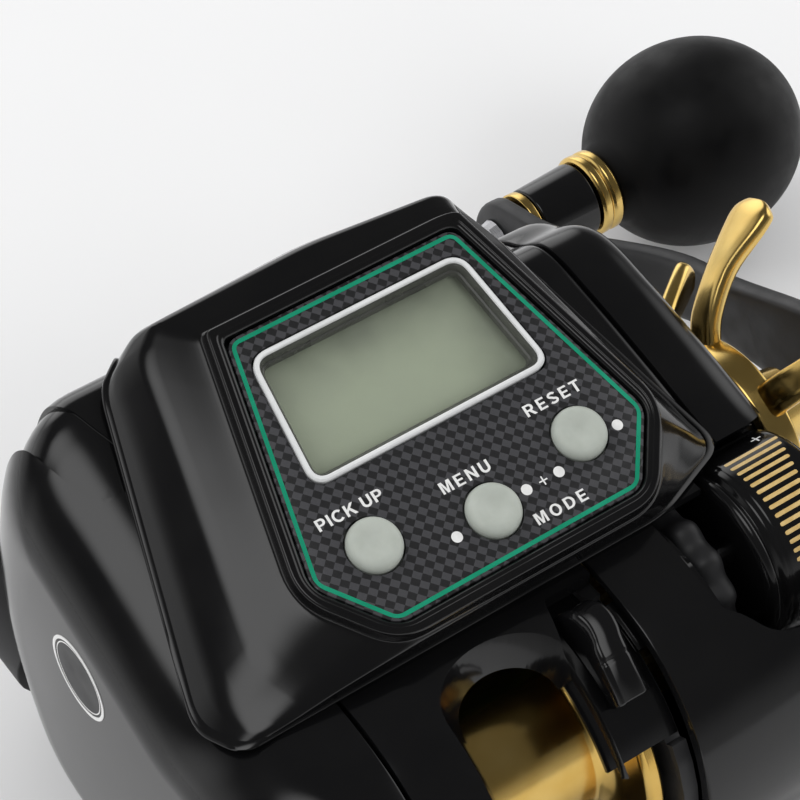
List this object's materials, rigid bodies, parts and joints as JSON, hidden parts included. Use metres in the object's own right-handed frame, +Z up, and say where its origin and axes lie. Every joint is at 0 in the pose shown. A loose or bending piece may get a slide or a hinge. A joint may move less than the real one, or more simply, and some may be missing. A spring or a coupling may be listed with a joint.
{
  "type": "electric fishing reel",
  "caption": "Electric bait-casting fishing reel with motor, gold spool, level wind, tilted display with push buttons, speed dial, star drag and crank handle with round knob.",
  "frame": {"origin": "middle of the flat underside of the reel foot, on the spool's middle plane", "axes": "+Z up, +Y towards the rod tip, +X towards the handle"},
  "size_m": [0.1812, 0.1467, 0.0877],
  "materials": {
    "gloss_black": "glossy black paint",
    "matte_black": "satin black",
    "cast_black": "black anodised casting",
    "gold_anodised": "polished gold anodised",
    "bright_steel": "turned steel",
    "gear_brass": "cut brass",
    "pale_rubber": "matt pale grey",
    "white_enamel": "white enamel",
    "clear_window": "clear window",
    "lcd_glass": "grey-green liquid crystal panel",
    "board_green": "circuit board",
    "pale_ceramic": "polished ceramic",
    "knob_black": "soft-touch black"
  },
  "bodies": {
    "reel_body": {"main_frame": "cast_black", "reel_foot": "bright_steel", "foot_screw_front": "bright_steel", "foot_screw_rear": "bright_steel", "nose_cover": "gloss_black", "left_side_cover": "gloss_black", "gear_case": "gloss_black", "right_side_plate": "gloss_black", "head_housing": "gloss_black", "display_plate": "matte_black", "window_frame": "white_enamel", "display_window": "clear_window", "lcd_module": "lcd_glass", "control_board": "board_green", "key_mat": "pale_rubber", "rear_guard": "gloss_black", "bearing_left": "bright_steel", "bearing_right": "bright_steel", "drive_motor": "bright_steel", "idler_pin": "bright_steel", "scale_hood": "gloss_black", "dial_pocket": "matte_black", "dial_sensor": "matte_black", "guide_rod": "bright_steel", "roller_clutch": "bright_steel", "drag_collar": "gloss_black", "power_socket": "matte_black", "socket_pin_left": "gear_brass", "socket_pin_right": "gear_brass"},
    "spool_body": {"spool": "gold_anodised", "spool_shaft": "bright_steel", "spool_gear": "gear_brass", "pinion_gear": "gear_brass"},
    "motor_rotor": {"motor_shaft": "bright_steel", "motor_pinion": "gear_brass"},
    "idler": {"idler_gear": "gear_brass"},
    "handle_drive": {"drive_shaft": "bright_steel", "drive_gear": "gear_brass", "worm_drive_gear": "matte_black", "drag_washer": "matte_black", "pressure_plate": "bright_steel", "handle_arm": "cast_black", "handle_nut": "gold_anodised", "knob_spindle": "bright_steel", "knob_washer": "gold_anodised"},
    "drag_star": {"star_drag": "gold_anodised"},
    "knob": {"knob_stem": "gloss_black", "knob_ring": "gold_anodised", "handle_knob": "knob_black"},
    "worm": {"worm_shaft": "bright_steel", "worm_gear": "matte_black"},
    "guide": {"line_guide": "gloss_black", "guide_ring": "pale_ceramic"},
    "lever": {"clutch_lever": "gloss_black"},
    "dial": {"speed_dial": "gloss_black", "dial_shaft": "bright_steel"},
    "pick_up": {"button_pick_up": "pale_rubber"},
    "menu": {"button_menu": "pale_rubber"},
    "reset": {"button_reset": "pale_rubber"}
  },
  "joints": [
    {"name": "handle_turn", "type": "hinge", "parent": "reel_body", "child": "handle_drive", "pos_m": [0, 0.0105, 0.0428], "axis": [1, 0, 0], "continuous": true},
    {"name": "spool_spin", "type": "hinge", "parent": "reel_body", "child": "spool_body", "pos_m": [0, -0.012, 0.035], "axis": [1, 0, 0], "continuous": true},
    {"name": "idler_spin", "type": "hinge", "parent": "reel_body", "child": "idler", "pos_m": [0, 0.01266, 0.0253], "axis": [1, 0, 0], "continuous": true},
    {"name": "motor_spin", "type": "hinge", "parent": "reel_body", "child": "motor_rotor", "pos_m": [0, 0.029, 0.023], "axis": [1, 0, 0], "continuous": true},
    {"name": "worm_spin", "type": "hinge", "parent": "reel_body", "child": "worm", "pos_m": [0, 0.0255, 0.043], "axis": [1, 0, 0], "continuous": true},
    {"name": "drag_turn", "type": "hinge", "parent": "handle_drive", "child": "drag_star", "pos_m": [0, 0.0105, 0.0428], "axis": [1, 0, 0], "range_deg": [-180, 180]},
    {"name": "knob_spin", "type": "hinge", "parent": "handle_drive", "child": "knob", "pos_m": [0, 0.08235, 0.02028], "axis": [1, 0, 0], "continuous": true},
    {"name": "guide_slide", "type": "slide", "parent": "reel_body", "child": "guide", "axis": [1, 0, 0], "range_m": [-0.0132, 0.0132]},
    {"name": "lever_press", "type": "hinge", "parent": "reel_body", "child": "lever", "pos_m": [0, -0.012, 0.035], "axis": [1, 0, 0], "range_deg": [0, 16]},
    {"name": "dial_turn", "type": "hinge", "parent": "reel_body", "child": "dial", "pos_m": [0, -0.011, 0.0493], "axis": [1, 0, 0], "range_deg": [0, 110]},
    {"name": "pick_up_press", "type": "slide", "parent": "reel_body", "child": "pick_up", "axis": [0, 0.3518, -0.9361], "range_m": [0, 0.0009], "stiffness_N_per_m": 500},
    {"name": "menu_press", "type": "slide", "parent": "reel_body", "child": "menu", "axis": [0, 0.3518, -0.9361], "range_m": [0, 0.0009], "stiffness_N_per_m": 500},
    {"name": "reset_press", "type": "slide", "parent": "reel_body", "child": "reset", "axis": [0, 0.3518, -0.9361], "range_m": [0, 0.0009], "stiffness_N_per_m": 500}
  ],
  "couplings": [
    {"joint": "spool_spin", "follows": "handle_turn", "ratio": -3.4},
    {"joint": "idler_spin", "follows": "handle_turn", "ratio": 4.6364},
    {"joint": "motor_spin", "follows": "handle_turn", "ratio": -10.2},
    {"joint": "worm_spin", "follows": "handle_turn", "ratio": -1.4286}
  ]
}
